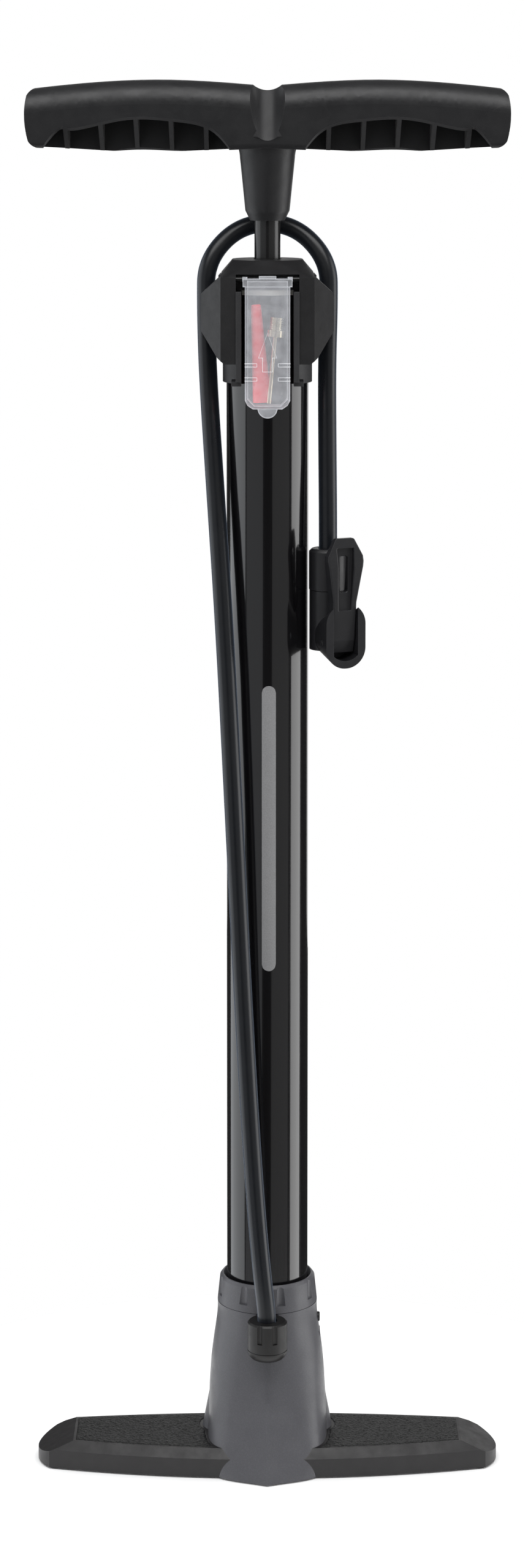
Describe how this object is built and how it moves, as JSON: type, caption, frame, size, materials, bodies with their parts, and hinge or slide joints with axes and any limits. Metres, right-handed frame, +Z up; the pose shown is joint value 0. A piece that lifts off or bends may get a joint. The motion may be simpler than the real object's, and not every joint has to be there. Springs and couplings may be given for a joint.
{
  "type": "floor bike pump",
  "caption": "Upright floor pump with a T handle, gloss black barrel, wide foot rests, a side-stowed lever head on a looped hose and a clear accessory case.",
  "frame": {"origin": "on the barrel's axis, on the floor", "axes": "+Z up the barrel, +X along the handle and the foot rests towards the pump head's side, -Y to the front, where the hose and the accessory case are"},
  "size_m": [0.221, 0.09, 0.6498],
  "materials": {
    "tower_plastic": "satin moulded",
    "foot_plastic": "pebble grained top, smooth edges",
    "handle_plastic": "satin moulded",
    "cap_plastic": "satin with grained panels",
    "head_plastic": "satin moulded",
    "barrel_paint": "gloss black",
    "rod_metal": "satin black",
    "hose_rubber": "satin",
    "pad_rubber": "matt",
    "seal_rubber": "smooth",
    "case_clear": "frosted clear",
    "cone_red": "gloss red",
    "inner_plastic": "moulded",
    "brass": "turned",
    "needle_metal": "pale brass",
    "steel": "bright"
  },
  "bodies": {
    "pump": {"base_tower": "tower_plastic", "foot_plate": "foot_plastic", "foot_pads": "pad_rubber", "base_screws": "steel", "side_screw": "steel", "lock_ring": "tower_plastic", "barrel_tube": "barrel_paint", "barrel_gasket": "seal_rubber", "valve_seat": "brass", "check_spring": "steel", "hose_elbow": "cap_plastic", "elbow_barb": "brass", "elbow_seal": "seal_rubber", "hose": "hose_rubber", "top_cap": "cap_plastic", "rod_bush": "inner_plastic", "rod_wiper": "seal_rubber", "case_holder": "cap_plastic", "head_body": "head_plastic", "chuck_cap": "head_plastic", "valve_gasket": "seal_rubber", "head_nut": "head_plastic", "head_barb": "brass", "lever_pin": "steel"},
    "piston_ring": {"piston_seal": "seal_rubber"},
    "rod_and_handle": {"rod": "rod_metal", "handle_body": "handle_plastic", "handle_pin": "steel", "piston_body": "inner_plastic", "rod_stud": "brass", "piston_nut": "steel", "stop_bumper": "seal_rubber"},
    "case": {"accessory_case": "case_clear", "inflation_cone": "cone_red", "ball_needle": "needle_metal"},
    "lever": {"head_lever": "head_plastic"},
    "plunger": {"lock_plunger": "inner_plastic"},
    "valve_ball": {"check_ball": "steel"}
  },
  "joints": [
    {"name": "piston_stroke", "type": "slide", "parent": "pump", "child": "piston_ring", "axis": [0, 0, 1], "range_m": [0, 0.44]},
    {"name": "rod_spin", "type": "hinge", "parent": "piston_ring", "child": "rod_and_handle", "pos_m": [0, 0, 0], "axis": [0, 0, 1], "continuous": true},
    {"name": "case_swing", "type": "hinge", "parent": "pump", "child": "case", "pos_m": [0, -0.0293, 0.56], "axis": [-1, 0, 0], "range_deg": [0, 70]},
    {"name": "lever_flip", "type": "hinge", "parent": "pump", "child": "lever", "pos_m": [0.03329, -0.01788, 0.3925], "axis": [0.9135, 0.4067, 0], "range_deg": [0, 90]},
    {"name": "plunger_press", "type": "slide", "parent": "pump", "child": "plunger", "axis": [-0.4067, 0.9135, 0], "range_m": [0, 0.002]},
    {"name": "check_valve_lift", "type": "slide", "parent": "pump", "child": "valve_ball", "axis": [0, 0, -1], "range_m": [0, 0.0025], "stiffness_N_per_m": 60, "springref_m": -0.002, "deforming": ["check_spring"]}
  ],
  "couplings": [
    {"joint": "plunger_press", "follows": "lever_flip", "m_per_rad": 0.00127}
  ]
}
